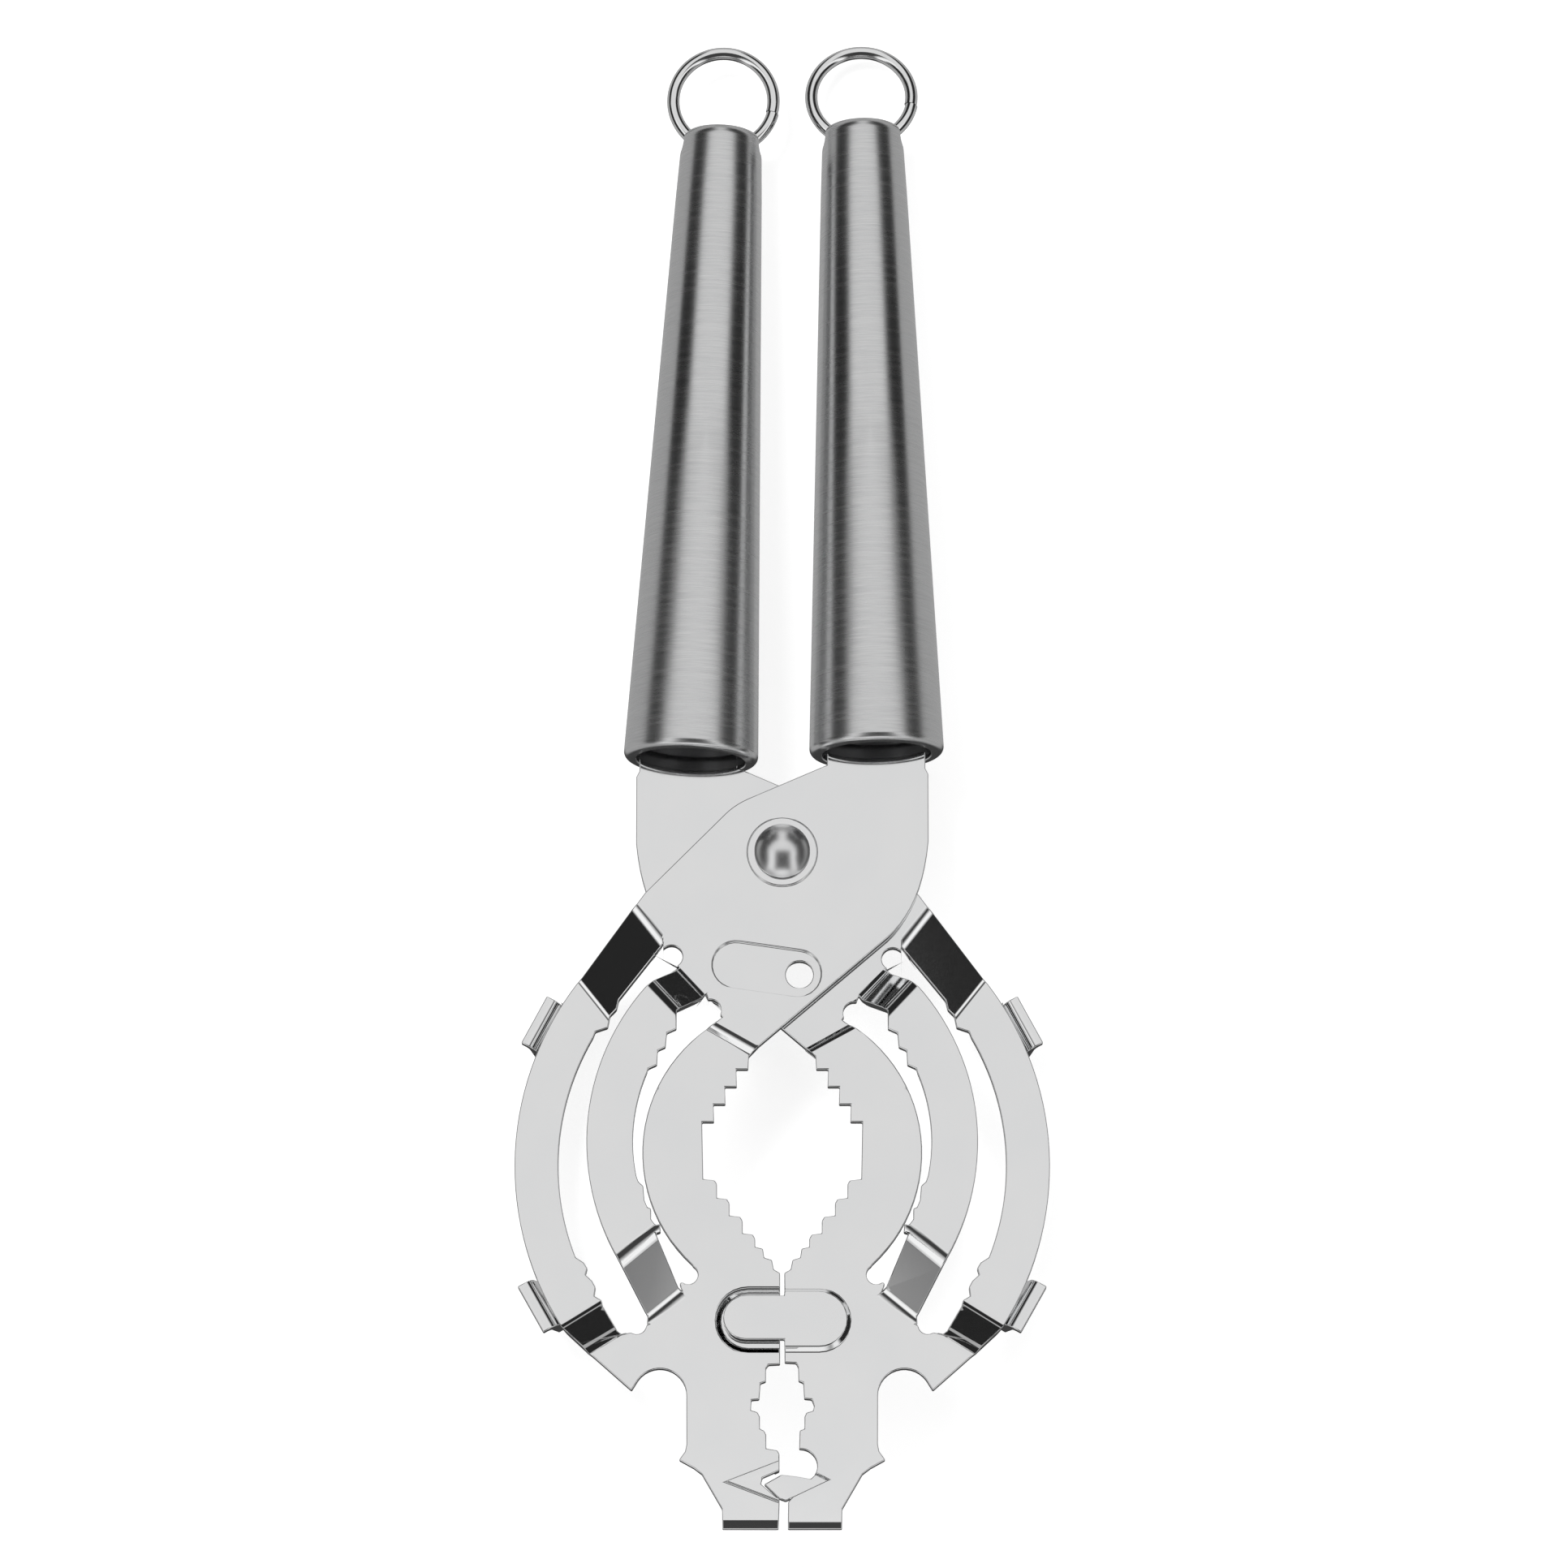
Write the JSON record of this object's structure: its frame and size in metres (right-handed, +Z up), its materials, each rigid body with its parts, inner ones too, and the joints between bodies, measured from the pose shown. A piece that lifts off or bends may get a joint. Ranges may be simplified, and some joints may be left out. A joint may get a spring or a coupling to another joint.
{
  "type": "jar and cap opener pliers",
  "caption": "Plier-type opener: two crossed polished steel blades with stepped, toothed gripping arcs at different heights, on conical tube handles with hanging rings.",
  "frame": {"origin": "middle of the bottom of the box, on the table that the tool lies on, where the outer tabs and the handle ends touch it", "axes": "+Y from the jaw tips to the hanging rings, +Z up out of the table, +X to the right seen from above"},
  "size_m": [0.0902, 0.2588, 0.0314],
  "materials": {
    "polished_steel": "mirror polished stainless sheet",
    "rivet_steel": "mirror polished",
    "ring_wire": "polished wire",
    "brushed_steel": "fine hairlines round the tube",
    "black_plastic": "moulded, matt"
  },
  "bodies": {
    "front_half": {"front_blade": "polished_steel", "pivot_rivet": "rivet_steel", "right_handle_tube": "brushed_steel", "right_tang_insert": "black_plastic"},
    "back_half": {"back_blade": "polished_steel", "left_handle_tube": "brushed_steel", "left_tang_insert": "black_plastic"},
    "right_ring": {"right_hanging_ring": "ring_wire"},
    "left_ring": {"left_hanging_ring": "ring_wire"}
  },
  "joints": [
    {"name": "pivot", "type": "hinge", "parent": "front_half", "child": "back_half", "pos_m": [0, -0.01493, 0.01578], "axis": [0, 0.0689, 0.9976], "range_deg": [0, 42]},
    {"name": "right_ring_swing", "type": "hinge", "parent": "front_half", "child": "right_ring", "pos_m": [0.01386, 0.11334, 0.00692], "axis": [0.9998, 0.0192, -0.0013], "range_deg": [-27, 45]},
    {"name": "left_ring_swing", "type": "hinge", "parent": "back_half", "child": "left_ring", "pos_m": [-0.01045, 0.11215, 0.007], "axis": [0.999, -0.0453, 0.0031], "range_deg": [-30, 30]}
  ]
}
